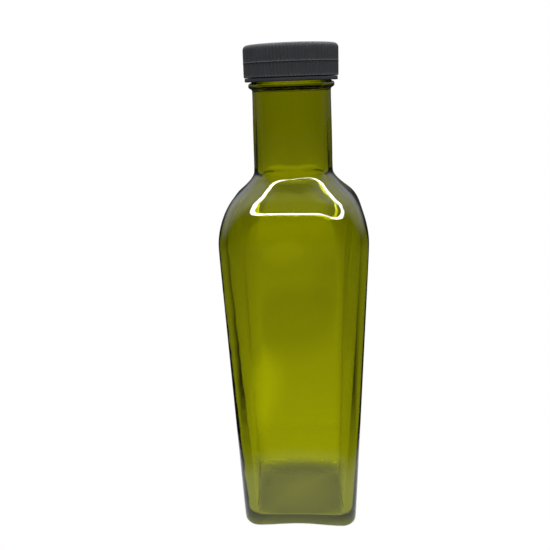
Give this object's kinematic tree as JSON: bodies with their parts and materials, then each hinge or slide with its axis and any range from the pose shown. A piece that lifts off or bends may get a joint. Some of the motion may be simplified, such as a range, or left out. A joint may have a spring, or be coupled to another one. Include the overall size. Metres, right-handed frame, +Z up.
{
  "type": "olive oil bottle",
  "caption": "Empty square tapered bottle of olive green glass with rounded shoulders, a round neck, a ribbed black screw cap and its tamper band.",
  "frame": {"origin": "on the table under the middle of the base", "axes": "+Z up along the neck, -Y out of the front side"},
  "size_m": [0.0548, 0.0548, 0.188],
  "materials": {
    "bottle_glass": "clear olive green glass, smooth, slightly uneven inside",
    "cap_plastic": "satin moulded black plastic",
    "band_plastic": "satin moulded black plastic"
  },
  "bodies": {
    "root": {"bottle": "bottle_glass", "cap": "cap_plastic", "tamper_band": "band_plastic"}
  },
  "joints": []
}
